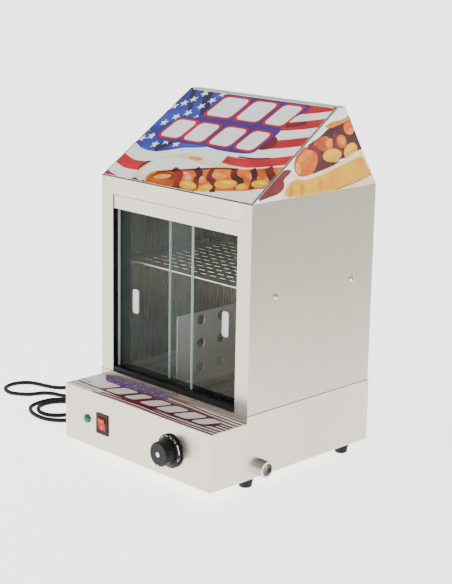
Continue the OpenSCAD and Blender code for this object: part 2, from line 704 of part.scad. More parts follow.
module right_door_pull() place() color(WHITE)
    door_pull(jamb_x - door_play - pull_inset, groove_ys[1]);

// ---- Roof lid ----

// Puts a piece on the front slope: Y up the slope from the eaves, Z out of it
module on_slope() translate([0, cab_y0, z_eave]) rotate([front_a, 0, 0]) children();

// Half the lid's width at a distance up the slope
function slope_x(s) = roof_x - gable_lean * s / front_l;

lid_s0 = (lid_gap / 2 + sheet * cos(front_a)) / sin(front_a);
lid_s1 = front_l - hinge_r * sin(front_a) - hinge_r - hinge_clear;

module lid_outline(inset) polygon([
    [-slope_x(lid_s0) + inset, lid_s0 + inset], [slope_x(lid_s0) - inset, lid_s0 + inset],
    [slope_x(lid_s1) - inset, lid_s1 - inset], [-slope_x(lid_s1) + inset, lid_s1 - inset]]);

module roof_lid() place() color(STEEL) on_slope() union() {
    translate([0, 0, -sheet]) linear_extrude(sheet) lid_outline(0);
    for (side = [-1, 1]) translate([0, 0, -lid_lip]) linear_extrude(lid_lip - 0.5)
        polygon([[side * (slope_x(30) - 2), 30], [side * (slope_x(30) - 2 - sheet), 30],
            [side * (slope_x(lid_s1 - 22) - 2 - sheet), lid_s1 - 22],
            [side * (slope_x(lid_s1 - 22) - 2), lid_s1 - 22]]);
    block([-slope_x(30) + 2, 30, -lid_lip], [slope_x(30) - 2, 30 + sheet, -0.5]);
}

module roof_film() place() color([0.45, 0.20, 0.45]) on_slope() linear_extrude(film) lid_outline(0.6);

knuckle_l = (2 * top_x - 8) / knuckles;

// The tubes of one hinge leaf, every second one from the given number
module hinge_tubes(first, gap) for (k = [first : 2 : knuckles - 1])
    bar([-top_x + 4 + k * knuckle_l + gap, front_y, hinge_z], knuckle_l - 2 * gap, 2 * hinge_r, "x");

module hinge_bore() bar([-top_x, front_y, hinge_z], 2 * top_x, 2 * (pin_r + pin_gap), "x");

module hinge_lid_leaf() place() color(DULL) difference() {
    union() {
        hinge_tubes(0, 0.3);
        on_slope() {
            block([-top_x + 4, lid_s1 - hinge_leaf_w, -sheet - hinge_leaf_t], [top_x - 4, lid_s1, -sheet]);
            for (k = [0 : 2 : knuckles - 1])
                block([-top_x + 4 + k * knuckle_l + 0.5, lid_s1 - 1, -sheet - hinge_leaf_t + 0.1],
                    [-top_x + 4 + (k + 1) * knuckle_l - 0.5, front_l - hinge_r * sin(front_a),
                        -sheet - 0.1]);
        }
    }
    hinge_bore();
}

module hinge_roof_leaf() place() color(DULL) difference() {
    union() {
        hinge_tubes(1, 0.3);
        block([-top_x + 4, front_y + hinge_r + hinge_clear + 0.1, z_ridge - sheet - hinge_leaf_t],
            [top_x - 4, front_y + hinge_leaf_w - 1, z_ridge - sheet]);
        for (k = [1 : 2 : knuckles - 1])
            block([-top_x + 4 + k * knuckle_l + 0.5, front_y, z_ridge - sheet - hinge_leaf_t + 0.1],
                [-top_x + 4 + (k + 1) * knuckle_l - 0.5, front_y + hinge_r + 2, z_ridge - sheet - 0.1]);
    }
    hinge_bore();
}

module hinge_pin() place() color(DULL) bar([-top_x + 3, front_y, hinge_z], 2 * top_x - 6, 2 * pin_r, "x");

// ---- Shelf, trays and partition ----

module shelf() place() color(STEEL) difference() {
    block([-shelf_x, shelf_y0, shelf_top - shelf_lip], [shelf_x, shelf_y1, shelf_top]);
    block([-shelf_x + sheet, shelf_y0 + sheet, shelf_top - shelf_lip - 1],
        [shelf_x - sheet, shelf_y1 - sheet, shelf_top - sheet]);
    block([-shelf_x - 1, shelf_y0 - 1, shelf_top - shelf_lip - 1],
        [shelf_x + 1, shelf_y0 + 2 * sheet, shelf_top - shelf_hem]);
    slots(-shelf_x + 14, shelf_x - 14, shelf_y0 + 12, shelf_y1 - 12, shelf_top - sheet);
}

module shelf_brackets() place() color(DULL) for (side = [0, 1]) mirror([side, 0, 0]) difference() {
    union() {
        block([cab_in - bracket_t, bolt_ys[0] - 12, shelf_top - shelf_lip - bracket_t],
            [cab_in - 0.02, bolt_ys[1] + 12, shelf_top - shelf_lip + bracket_h - 4]);
        block([cab_in - bracket_w, bolt_ys[0] - 12, shelf_top - shelf_lip - bracket_t],
            [cab_in - 0.02, bolt_ys[1] + 12, shelf_top - shelf_lip - 0.02]);
    }
    for (y = bolt_ys) bar([cab_in - bracket_t - 1, y, bolt_z], bracket_t + 2, bolt_d + 0.4, "x");
}

module side_bolts() place() color(STEEL)
    for (side = [0, 1], y = bolt_ys) mirror([side, 0, 0]) difference() {
    union() {
        translate([cab_x + 0.01, y, bolt_z]) rotate([0, 90, 0]) rotate_extrude()
            polygon([[0, 0], [4.4, 0], [4.4, 0.8], [3.6, 2.2], [2.2, bolt_head_h], [0, bolt_head_h]]);
        bar([cab_in - bracket_t - nut_h - 0.6, y, bolt_z], bracket_t + nut_h + sheet + 1, bolt_d, "x");
    }
    translate([cab_x + bolt_head_h - 1.8, y, bolt_z]) rotate([0, 90, 0]) cylinder(h = 3, r = 1.6, $fn = 6);
}

module side_nuts() place() color(DULL) for (side = [0, 1], y = bolt_ys) mirror([side, 0, 0])
    nut([cab_in - bracket_t - nut_h - 0.03, y, bolt_z], nut_h, 8, bolt_d + 0.05, "x");

// A slotted tray between two X positions, with its long edges turned up
module tray(x0, x1, lips) difference() {
    union() {
        block([x0, tray_y0, z_floor + 0.02], [x1, tray_y1, z_floor + sheet]);
        for (x = lips) block([x, tray_y0, z_floor + 0.02],
            [x + sheet, tray_y1, z_floor + sheet + tray_lip]);
    }
    slots(lips[len(lips) - 2] + 6, lips[len(lips) - 1] - 6, tray_y0 + 14, tray_y1 - 14, z_floor);
}

module left_tray() place() color(STEEL)
    tray(-tray_x, rail_x0 - tray_gap,
        [-tray_x, -tray_x + tray_step, -tray_x + 2 * tray_step, rail_x0 - tray_gap - sheet]);

module right_tray() place() color(STEEL)
    tray(rail_right + tray_gap, tray_x, [rail_right + tray_gap, tray_x - sheet]);

module middle_rail() place() color(DULL) union() {
    block([rail_x0, tray_y0, z_floor + 0.01], [rail_right, tray_y1, z_floor + sheet]);
    for (x = [rail_x0 + 4, rail_right - 4 - sheet])
        block([x, shelf_y0 + 12, z_floor - 6], [x + sheet, tank_y1 - sheet - 1, z_floor + 0.2]);
}

module partition() place() color(STEEL) difference() {
    union() {
        block([-partition_x - sheet, tray_y0 + 1, z_floor + sheet],
            [-partition_x, tray_y0 + 1 + partition_d, z_floor + sheet + partition_h]);
        block([-partition_x - 0.1, tray_y0 + 1, z_floor + sheet],
            [-partition_x + 14, tray_y0 + 1 + partition_d, z_floor + 2 * sheet]);
    }
    for (i = [0 : 3], j = [0 : 2])
        bar([-partition_x - sheet - 1, tray_y0 + 50 + i * 43, z_floor + 20 + j * 37], sheet + 2,
            partition_hole, "x");
}

// ---- Mains cord ----

// How far the cord moves to stay in its strain relief when the body's size changes
CORD_SHIFT = [gland_x - ROUTE[0][0], body_d + relief_l + 5 - ROUTE[0][1], 0];

// A point of the smooth curve through the route's points, u from 0 to the last point's number
function route_at(u) = let (
    n = len(ROUTE) - 1,
    i = min(floor(u), n - 1),
    t = u - i,
    b = ROUTE[i],
    c = ROUTE[i + 1],
    a = i > 0 ? ROUTE[i - 1] : 2 * b - c,
    d = i < n - 1 ? ROUTE[i + 2] : 2 * c - b)
    0.5 * (2 * b + (c - a) * t + (2 * a - 5 * b + 4 * c - d) * t * t + (3 * b - a - 3 * c + d) * t * t * t);

function unit(v) = v / norm(v);

// One ring of the cord's skin, square to the curve
function ring_at(u) = let (
    n = len(ROUTE) - 1,
    p = route_at(u),
    ahead = unit(route_at(min(u + 0.05, n)) - route_at(max(u - 0.05, 0))),
    side = unit(cross(ahead, [0, 0, 1])),
    up = cross(side, ahead))
    [for (k = [0 : cord_sides - 1]) let (a = 360 * k / cord_sides)
        p + cord_d / 2 * (cos(a) * side + sin(a) * up)];

// The curve's parameters at the rings: one at each point, and one between points far apart
RINGS = [for (i = [0 : len(ROUTE) - 2])
    each norm(ROUTE[i + 1] - ROUTE[i]) > long_step ? [i, i + 0.5] : [i],
    len(ROUTE) - 1];

module cord() place() color(BLACK) translate(CORD_SHIFT) {
    skin = [for (u = RINGS) each ring_at(u)];
    last = (len(RINGS) - 1) * cord_sides;
    polyhedron(skin, concat(
        [[for (k = [0 : cord_sides - 1]) k]],
        [for (r = [0 : len(RINGS) - 2], k = [0 : cord_sides - 1]) let (
            a = r * cord_sides + k,
            b = r * cord_sides + (k + 1) % cord_sides)
            [a, a + cord_sides, b + cord_sides, b]],
        [[for (k = [cord_sides - 1 : -1 : 0]) last + k]]));
}

module strain_relief() place() color(BLACK) translate([gland_x, body_d, gland_h])
    rotate([-90, 0, 0]) difference() {
    rotate_extrude() polygon([[0, -4.5], [relief_d / 2 + 1.6, -4.5], [relief_d / 2 + 1.6, -1.2],
        [relief_d / 2, -1.2],
        [relief_d / 2, 0.1], [relief_d / 2 + 2.4, 0.1], [relief_d / 2 + 2.4, 4], [relief_d / 2 - 0.5, 5],
        [cord_d / 2 + 0.8, relief_l + 5], [0, relief_l + 5]]);
    translate([0, 0, -5]) cylinder(h = 5.1, d = cord_d - 0.5);
}

// A moulded plug with two flat blades and a round earth pin, lying on its side
module plug() place() color(BLACK) translate(ROUTE[len(ROUTE) - 1] + CORD_SHIFT) rotate([0, 0, -9]) {
    rotate([0, 90, 0]) rotate_extrude() polygon([[0, 0], [4.6, 0], [5, 14], [11, 20], [12.6, 26],
        [12.6, 40], [11.6, 42], [0, 42]]);
    for (z = [-6.35, 6.35]) block([41.9, -0.75 - 2.4, z - 3.1], [58, -2.4 + 0.75, z + 3.1]);
    bar([41.9, 6, 0], 19, 4.8, "x");
}

base_housing();
bottom_cover();
control_box();
control_box_floor();
control_film();
left_side();
right_side();
back_panel();
rear_roof();
ridge_cap();
left_stile();
right_stile();
top_rail();
header_strip();
door_sill();
bottom_track();
top_track();
left_jamb();
right_jamb();
left_door_glass();
left_door_pull();
right_door_glass();
right_door_pull();
roof_lid();
roof_film();
gable_films();
hinge_lid_leaf();
hinge_roof_leaf();
hinge_pin();
shelf();
shelf_brackets();
side_bolts();
side_nuts();
left_tray();
right_tray();
middle_rail();
partition();
water_tank();
heating_element();
element_nuts();
thermostat_bulb();
thermostat_body();
dial_skirt();
dial_knob();
dial_cap();
dial_shaft();
switch_bezel();
switch_rocker();
pilot_lens();
pilot_body();
drain_socket();
drain_fittings();
feet();
foot_screws();
terminal_block();
supply_lead();
control_wires();
strain_relief();
cord();
plug();
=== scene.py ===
import math

import bmesh
import bpy
from mathutils import Matrix, Vector


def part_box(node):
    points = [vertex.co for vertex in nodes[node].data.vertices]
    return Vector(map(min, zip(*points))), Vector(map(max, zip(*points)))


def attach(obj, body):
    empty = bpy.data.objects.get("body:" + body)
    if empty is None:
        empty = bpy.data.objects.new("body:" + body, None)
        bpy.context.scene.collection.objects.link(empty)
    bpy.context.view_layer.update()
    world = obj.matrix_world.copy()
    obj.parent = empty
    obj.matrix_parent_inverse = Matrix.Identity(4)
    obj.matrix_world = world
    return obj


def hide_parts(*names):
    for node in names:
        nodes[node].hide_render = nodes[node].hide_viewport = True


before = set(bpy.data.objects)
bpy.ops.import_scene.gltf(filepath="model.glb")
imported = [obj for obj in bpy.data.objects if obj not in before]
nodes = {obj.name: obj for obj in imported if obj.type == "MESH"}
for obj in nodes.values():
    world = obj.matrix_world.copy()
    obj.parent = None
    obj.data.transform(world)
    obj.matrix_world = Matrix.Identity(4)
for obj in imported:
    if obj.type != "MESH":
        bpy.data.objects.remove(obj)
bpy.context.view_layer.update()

MM = 0.001


# ---- Camera: a plain one at the photo's angle ----

CAMERA_AZIMUTH = 45.0
CAMERA_ELEVATION = 14.35
CAMERA_ROLL = 1.06
CAMERA_DISTANCE = 2.183
CAMERA_LENS = 90.07
CAMERA_AIM = Vector((0.0025, 0.0187, 0.246))


def make_camera():
    a, e, r = (math.radians(v) for v in (CAMERA_AZIMUTH, CAMERA_ELEVATION, CAMERA_ROLL))
    back = Vector((math.sin(a) * math.cos(e), -math.cos(a) * math.cos(e), math.sin(e)))
    level = Vector((math.cos(a), math.sin(a), 0))
    upright = back.cross(level)
    right = level * math.cos(r) + upright * math.sin(r)
    up = upright * math.cos(r) - level * math.sin(r)
    data = bpy.data.cameras.new("camera")
    data.lens = CAMERA_LENS
    data.sensor_width = 36
    data.sensor_fit = "AUTO"
    camera = bpy.data.objects.new("camera", data)
    turn = Matrix((right, up, back)).transposed().to_4x4()
    camera.matrix_world = Matrix.Translation(CAMERA_AIM + back * CAMERA_DISTANCE) @ turn
    bpy.context.collection.objects.link(camera)
    bpy.context.scene.camera = camera


make_camera()


# ---- Materials ----

class Paint:
    """A Principled material and short calls that build its nodes."""

    def __init__(self, name, color, **sockets):
        self.material = bpy.data.materials.new(name)
        self.material.use_nodes = True
        self.tree = self.material.node_tree
        self.shader = self.tree.nodes["Principled BSDF"]
        self.color = (*color, 1)
        self.shader.inputs["Base Color"].default_value = self.color
        for key, value in sockets.items():
            self.shader.inputs[key.replace("_", " ")].default_value = value

    def add(self, kind, inputs=(), **settings):
        node = self.tree.nodes.new(kind)
        for key, value in settings.items():
            setattr(node, key, value)
        for key, value in dict(inputs).items():
            if isinstance(value, bpy.types.NodeSocket):
                self.tree.links.new(value, node.inputs[key])
            else:
                node.inputs[key].default_value = value
        return node

    def where(self, scale=(1, 1, 1)):
        place = self.add("ShaderNodeTexCoord").outputs["Object"]
        return self.add("ShaderNodeMapping", {"Vector": place, "Scale": scale}).outputs["Vector"]

    def noise(self, scale, detail=3.0, stretch=(1, 1, 1), rough=0.5):
        inputs = {"Vector": self.where(stretch), "Scale": scale, "Detail": detail, "Roughness": rough}
        return self.add("ShaderNodeTexNoise", inputs).outputs["Fac"]

    def span(self, value, low, high, start=0.0, end=1.0):
        inputs = {"Value": value, "From Min": start, "From Max": end, "To Min": low, "To Max": high}
        return self.add("ShaderNodeMapRange", inputs).outputs["Result"]

    def blend(self, factor, one, two):
        node = self.add("ShaderNodeMix", data_type="RGBA")
        for socket, value in ((node.inputs[0], factor), (node.inputs[6], one), (node.inputs[7], two)):
            if isinstance(value, bpy.types.NodeSocket):
                self.tree.links.new(value, socket)
            else:
                socket.default_value = value
        return node.outputs[2]

    def to(self, socket, value):
        self.tree.links.new(value, self.shader.inputs[socket])

    def bump(self, height, strength, distance):
        node = self.add("ShaderNodeBump", {"Height": height, "Strength": strength, "Distance": distance})
        self.tree.links.new(node.outputs["Normal"], self.shader.inputs["Normal"])

    def shade(self, factor):
        return tuple(min(1, c * factor) for c in self.color[:3]) + (1,)


# Heights over which steel_wall's colour darkens toward the top, as a painted reflection.
PAINTED_REFLECTION_HEIGHTS = (0.1, 0.42)


def steel(name, color, rough, grain, painted_reflection=1.0):
    """Brushed sheet: fine grain, faint smears and a slow change of tone. A last argument under 1 darkens the
    colour toward the top: a painted reflection.
    """
    p = Paint(name, color, Metallic=1.0, Anisotropic=0.35)
    lines = p.noise(1.0, 4.0, grain, 0.6)
    smear = p.noise(9.0, 3.0)
    tone = p.noise(2.6, 2.0)
    worn = p.blend(p.span(tone, 0, 1, 0.3, 0.7), p.shade(0.93), p.shade(1.06))
    color = p.blend(p.span(lines, 0, 0.16, 0.3, 0.75), worn, p.shade(0.84))
    # Painted reflection: the colour darkens toward the top.
    if painted_reflection < 1:
        height = p.add("ShaderNodeSeparateXYZ", {"Vector": p.where()}).outputs["Z"]
        color = p.blend(p.span(height, 0, 1, *PAINTED_REFLECTION_HEIGHTS), color, p.shade(painted_reflection))
    p.to("Base Color", color)
    mixed = p.add("ShaderNodeMath", {0: lines, 1: smear}, operation="ADD").outputs[0]
    p.to("Roughness", p.span(mixed, rough - 0.04, rough + 0.06, 0.7, 1.35))
    p.bump(lines, 0.008, 0.0002)
    return p.material


def bright_metal(name, color, rough):
    """Plated or turned metal: fine turning marks and handling marks."""
    p = Paint(name, color, Metallic=1.0)
    marks = p.noise(1.0, 2.0, (900, 900, 900))
    stain = p.noise(40.0, 4.0)
    p.to("Base Color", p.blend(p.span(stain, 0, 1, 0.35, 0.75), p.shade(1.05), p.shade(0.72)))
    p.to("Roughness", p.span(stain, rough, rough + 0.15, 0.3, 0.8))
    p.bump(marks, 0.08, 0.0001)
    return p.material


def plastic(name, color, rough, grain=700.0, bump=0.10, rub=0.6):
    """Moulded plastic or rubber: a fine texture, dust and rubbed patches."""
    p = Paint(name, color, Specular_IOR_Level=0.18)
    fine = p.noise(grain, 2.0)
    rubbed = p.noise(28.0, 4.0)
    pale = tuple(c * 0.85 + 0.05 for c in color) + (1,)
    p.to("Base Color", p.blend(p.span(rubbed, 0, rub, 0.45, 0.8), p.color, pale))
    p.to("Roughness", p.span(rubbed, rough - 0.06, rough + 0.12, 0.3, 0.75))
    p.bump(fine, bump, 0.0002)
    return p.material


def printed(name, color, dark=0.78, light=1.12, scale=22.0):
    """Printed film: even ink with soft folds of light and shade, under a clear gloss."""
    p = Paint(name, color, Specular_IOR_Level=0.3)
    folds = p.noise(scale, 2.0, (1, 2.2, 1))
    p.to("Base Color", p.blend(p.span(folds, 0, 1, 0.32, 0.68), p.shade(dark), p.shade(light)))
    gloss = p.noise(60.0, 3.0)
    p.to("Roughness", p.span(gloss, 0.26, 0.42, 0.3, 0.7))
    p.bump(p.noise(900.0, 1.0), 0.03, 0.0001)
    return p.material


def clear_glass():
    """Pane glass: nearly clear, with a green tint and a few faint smears."""
    p = Paint("pane_glass", (0.13, 0.17, 0.155), Alpha=0.06, IOR=1.5)
    smear = p.noise(16.0, 4.0, (1, 1, 0.35))
    p.to("Base Color", p.blend(p.span(smear, 0, 1, 0.3, 0.7), p.shade(0.9), p.shade(1.15)))
    p.to("Roughness", p.span(smear, 0.02, 0.10, 0.45, 0.85))
    return p.material


def frosted(name, color):
    """Ground glass: pale and rough."""
    p = Paint(name, color, Transmission_Weight=0.35, IOR=1.45)
    grit = p.noise(1400.0, 2.0)
    p.to("Base Color", p.blend(p.span(grit, 0, 1, 0.3, 0.7), p.shade(0.9), p.shade(1.05)))
    p.to("Roughness", p.span(p.noise(60.0), 0.45, 0.7, 0.3, 0.7))
    p.bump(grit, 0.2, 0.0001)
    return p.material


def lamp_green():
    """The pilot light's faceted green lens."""
    p = Paint("pilot_green", (0.005, 0.16, 0.08), Coat_Weight=0.15, Specular_IOR_Level=0.3, IOR=1.49)
    cells = p.add("ShaderNodeTexVoronoi", {"Vector": p.where(), "Scale": 420.0})
    depth = cells.outputs["Distance"]
    p.to("Base Color", p.blend(p.span(depth, 0, 1, 0.1, 0.6), (0.01, 0.24, 0.12, 1), (0.0, 0.06, 0.03, 1)))
    p.to("Roughness", p.span(depth, 0.08, 0.25))
    p.bump(depth, 0.5, 0.0006)
    return p.material


def food(name, dark, light, scale):
    """A printed picture of food: mottled between two tones, under the film's gloss."""
    p = Paint(name, light, Specular_IOR_Level=0.3)
    patch = p.noise(scale, 5.0, (1, 1, 1), 0.6)
    p.to("Base Color", p.blend(p.span(patch, 0, 1, 0.35, 0.66), (*dark, 1), (*light, 1)))
    p.to("Roughness", p.span(p.noise(60.0), 0.27, 0.43, 0.3, 0.7))
    return p.material


# Noise stretch: few waves along the brushing, many across it.
LEVEL_GRAIN = (7, 7, 620)
UPRIGHT_GRAIN = (620, 620, 7)
CROSS_GRAIN = (7, 620, 620)

# steel_wall's colour darkens toward the top: a painted reflection, for the darker reflection that the photo
# shows on the side wall. The side_ tones are deeper than the roof's, because the glowing floor lights the
# gables.
M = {
    "steel_level": steel("steel_level", (0.60, 0.55, 0.455), 0.27, LEVEL_GRAIN),
    "steel_upright": steel("steel_upright", (0.56, 0.515, 0.43), 0.27, UPRIGHT_GRAIN),
    "steel_wall": steel("steel_wall", (0.52, 0.48, 0.40), 0.27, UPRIGHT_GRAIN, 0.55),
    "steel_cross": steel("steel_cross", (0.60, 0.55, 0.455), 0.27, CROSS_GRAIN),
    "steel_inner": steel("steel_inner", (0.64, 0.62, 0.57), 0.42, CROSS_GRAIN),
    "steel_plate": steel("steel_plate", (0.86, 0.84, 0.79), 0.55, LEVEL_GRAIN),
    "steel_dull": steel("steel_dull", (0.42, 0.41, 0.39), 0.48, LEVEL_GRAIN),
    "bright": bright_metal("bright", (0.82, 0.81, 0.79), 0.16),
    "turned": bright_metal("turned", (0.72, 0.70, 0.65), 0.24),
    "brass": bright_metal("brass", (0.72, 0.55, 0.27), 0.26),
    "film_white": printed("film_white", (0.93, 0.925, 0.92), 0.95, 1.05),
    "film_red": printed("film_red", (0.52, 0.006, 0.014), 0.7, 1.2),
    "film_deep": printed("film_deep", (0.16, 0.004, 0.010), 0.7, 1.2),
    "film_pink": printed("film_pink", (0.68, 0.28, 0.30), 0.9, 1.1),
    "film_blue": printed("film_blue", (0.025, 0.045, 0.36), 0.5, 1.5, 16.0),
    "film_navy": printed("film_navy", (0.008, 0.010, 0.06), 0.7, 1.3),
    "film_purple": printed("film_purple", (0.06, 0.008, 0.20), 0.8, 1.2),
    "bun": food("bun", (0.84, 0.64, 0.30), (0.92, 0.86, 0.68), 34.0),
    "bun_gold": food("bun_gold", (0.66, 0.20, 0.0), (0.88, 0.52, 0.08), 30.0),
    "sausage": food("sausage", (0.52, 0.06, 0.0), (0.90, 0.22, 0.0), 26.0),
    "sausage_light": food("sausage_light", (0.86, 0.20, 0.02), (0.95, 0.50, 0.20), 40.0),
    "sauce": food("sauce", (0.03, 0.002, 0.001), (0.26, 0.010, 0.001), 36.0),
    "mustard": food("mustard", (0.80, 0.36, 0.0), (0.92, 0.56, 0.0), 26.0),
    "side_sausage": food("side_sausage", (0.42, 0.035, 0.0), (0.80, 0.16, 0.0), 24.0),
    "side_shine": food("side_shine", (0.72, 0.16, 0.004), (0.84, 0.34, 0.06), 30.0),
    "side_sauce": food("side_sauce", (0.008, 0.0005, 0.0), (0.10, 0.004, 0.0), 30.0),
    "side_mustard": food("side_mustard", (0.72, 0.30, 0.0), (0.84, 0.50, 0.0), 22.0),
    "side_gold": food("side_gold", (0.50, 0.14, 0.0), (0.76, 0.36, 0.0), 22.0),
    "mustard_light": food("mustard_light", (0.93, 0.58, 0.0), (0.97, 0.74, 0.03), 30.0),
    # This black also paints the shadows in the side bolts' sockets and along the front frame's mitres.
    "black_channel": plastic("black_channel", (0.005, 0.005, 0.006), 0.38, rub=0.2),
    "black_dial": plastic("black_dial", (0.004, 0.0045, 0.005), 0.36, rub=0.15),
    "black_rubber": plastic("black_rubber", (0.008, 0.008, 0.009), 0.6, 500.0, 0.2, 0.2),
    "black_cord": plastic("black_cord", (0.006, 0.006, 0.007), 0.5, 300.0, 0.01, 0.05),
    "switch_black": plastic("switch_black", (0.008, 0.005, 0.005), 0.34, rub=0.2),
    "switch_red": plastic("switch_red", (0.36, 0.006, 0.003), 0.24, 300.0, 0.04, 0.15),
    # This white also paints the highlight along the partition's front edge.
    "white_ink_and_highlight": plastic("white_ink_and_highlight", (0.80, 0.80, 0.78), 0.5),
    "pale": plastic("pale", (0.72, 0.70, 0.64), 0.5),
    "glass": clear_glass(),
    "glass_edge": frosted("glass_edge", (0.62, 0.80, 0.74)),
    "pull": frosted("pull", (0.86, 0.90, 0.88)),
    "green": lamp_green(),
}

LOOKS = {
    "steel_level": ["base_housing", "control_box", "header_strip", "top_rail"],
    "steel_plate": ["partition"],
    "steel_wall": ["left_side", "right_side"],
    "steel_upright": ["back_panel", "left_stile", "right_stile"],
    "steel_cross": ["rear_roof", "ridge_cap", "roof_lid"],
    "steel_inner": ["bottom_cover", "control_box_floor", "door_sill", "shelf", "shelf_brackets", "left_tray",
                    "right_tray", "middle_rail", "water_tank"],
    "steel_dull": ["heating_element", "thermostat_body"],
    "bright": ["side_bolts", "side_nuts", "foot_screws", "hinge_lid_leaf", "hinge_roof_leaf", "hinge_pin",
               "dial_cap"],
    "turned": ["drain_socket"],
    "brass": ["dial_shaft", "element_nuts", "thermostat_bulb", "drain_fittings"],
    "film_white": ["control_film", "roof_film", "gable_films"],
    "black_channel": ["bottom_track", "top_track", "left_jamb", "right_jamb"],
    "black_dial": ["dial_skirt", "dial_knob"],
    "black_rubber": ["feet"],
    "black_cord": ["supply_lead", "control_wires", "strain_relief", "plug", "cord"],
    "switch_black": ["switch_bezel"],
    "switch_red": ["switch_rocker"],
    "pale": ["pilot_body", "terminal_block"],
    "glass": ["left_door_glass", "right_door_glass"],
    "pull": ["left_door_pull", "right_door_pull"],
    "green": ["pilot_lens"],
}

for look, names in LOOKS.items():
    for name in names:
        slots = nodes[name].data.materials
        slots.clear()
        slots.append(M[look])


# ---- Mesh helpers ----

def piece(name, build, materials, body, smooth=False):
    """A mesh piece: build(bm) fills it, faces take their material by number."""
    mesh = bpy.data.meshes.new(name)
    bm = bmesh.new()
    build(bm)
    bm.to_mesh(mesh)
    bm.free()
    for material in materials:
        mesh.materials.append(material)
    if smooth:
        for face in mesh.polygons:
            face.use_smooth = True
    thing = bpy.data.objects.new(name, mesh)
    bpy.context.collection.objects.link(thing)
    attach(thing, body)
    return thing


def clip(shape, border):
    """The part of a flat shape inside a convex border that runs anticlockwise."""
    for i, a in enumerate(border):
        b = border[(i + 1) % len(border)]
        kept = []
        for j, p in enumerate(shape):
            q = shape[(j + 1) % len(shape)]
            dp, dq = ((b[0] - a[0]) * (v[1] - a[1]) - (b[1] - a[1]) * (v[0] - a[0]) for v in (p, q))
            if dp >= 0:
                kept.append(p)
            if dp * dq < 0:
                t = dp / (dp - dq)
                kept.append((p[0] + t * (q[0] - p[0]), p[1] + t * (q[1] - p[1])))
        shape = kept
        if len(shape) < 3:
            return []
    return shape


def curve(p0, p1, p2, p3, steps):
    """Points from p1 up to p2 on the smooth curve through all four."""
    out = []
    for k in range(steps):
        t = k / steps
        out.append(0.5 * (2 * p1 + (p2 - p0) * t + (2 * p0 - 5 * p1 + 4 * p2 - p3) * t * t
                          + (3 * p1 - p0 - 3 * p2 + p3) * t ** 3))
    return out


OUTLINE_STEPS = 4


def sampled(corners):
    """A closed outline through the corners, rounded as a smooth curve."""
    count = len(corners)
    out = []
    for i in range(count):
        around = (Vector(corners[(i + k) % count]) for k in (-1, 0, 1, 2))
        out += [tuple(p) for p in curve(*around, OUTLINE_STEPS)]
    return out


def band(path, half):
    """The outline of a band of a given half width along a list of points."""
    left, right = [], []
    for i, p in enumerate(path):
        a, b = Vector(path[max(i - 1, 0)]), Vector(path[min(i + 1, len(path) - 1)])
        side = Vector((-(b - a).y, (b - a).x)).normalized() * half
        left.append(tuple(Vector(p) + side))
        right.append(tuple(Vector(p) - side))
    return left + right[::-1]


def stripe(points, half):
    """A band along a smooth line through the points."""
    path = []
    last = len(points) - 1
    for i in range(last):
        around = (Vector(points[min(max(i + k, 0), last)]) for k in (-1, 0, 1, 2))
        path += [tuple(p) for p in curve(*around, OUTLINE_STEPS)]
    return band(path + [points[last]], half)


PRINT_STEP = 0.03 * MM


def picture(name, layers, place, border, body):
    """Flat shapes on a film, each one a hair above the one before it."""
    materials = []

    def build(bm):
        for level, (look, shapes) in enumerate(layers):
            if M[look] not in materials:
                materials.append(M[look])
            number = materials.index(M[look])
            for shape in shapes:
                kept = clip(shape, border)
                if kept:
                    verts = [bm.verts.new(place(u, v, (level + 1) * PRINT_STEP)) for u, v in kept]
                    bm.faces.new(verts).material_index = number

    return piece(name, build, materials, body)


def ellipse(u, v, ru, rv, turn=0.0, count=28):
    """An ellipse's outline, turned by some degrees."""
    c, s = math.cos(math.radians(turn)), math.sin(math.radians(turn))
    out = []
    for k in range(count):
        a = 2 * math.pi * k / count
        x, y = ru * math.cos(a), rv * math.sin(a)
        out.append((u + x * c - y * s, v + x * s + y * c))
    return out


STAR_WAIST = 0.42


def star(u, v, r, turn=0.0):
    """A five-pointed star's outline."""
    out = []
    for k in range(10):
        a = math.radians(90 + turn + 36 * k)
        d = r if k % 2 == 0 else r * STAR_WAIST
        out.append((u + d * math.cos(a), v + d * math.sin(a)))
    return out


def slab(u, v, w, h, lean, r):
    """A slanted block with round corners."""
    out = []
    for cx, cy, a0 in ((w - r, h - r, 0), (r - w, h - r, 90), (r - w, r - h, 180), (w - r, r - h, 270)):
        for k in range(5):
            a = math.radians(a0 + 22.5 * k)
            x, y = cx + r * math.cos(a), cy + r * math.sin(a)
            out.append((u + x + lean * y, v + y))
    return out


# ---- Roof picture: flag colours, plain blocks and a hot dog ----

rail_low, rail_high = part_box("top_rail")
cap_low, cap_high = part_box("ridge_cap")
film_low, film_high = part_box("roof_film")
mid_x = (rail_low[0] + rail_high[0]) / 2
RIDGE_SETBACK = 2.45 * MM  # from the front slope's line at the cap's top, back to the ridge cap
EAVE = Vector((mid_x, rail_low[1], rail_high[2]))
RIDGE = Vector((mid_x, cap_low[1] - RIDGE_SETBACK, cap_high[2]))
SLOPE = (RIDGE - EAVE).normalized()
OUTWARD = Vector((0, -SLOPE.z, SLOPE.y))
FILM = 0.3 * MM

# The lid's film in millimetres: its ends up the slope and its half width at each end.
FILM_S0 = (film_low[2] - EAVE.z) / SLOPE.z / MM + 0.1
FILM_S1 = (film_high[2] - FILM * SLOPE.y - EAVE.z) / SLOPE.z / MM
LOW_HALF = (film_high[0] - film_low[0]) / 2 / MM
HIGH_HALF = (cap_high[0] - cap_low[0]) / 2 / MM - 0.6


def on_lid(x, s, lift):
    """Millimetres across from the middle and up the slope, to a place just above the film."""
    return EAVE + Vector((x * MM, 0, 0)) + SLOPE * (s * MM) + OUTWARD * (FILM + lift)


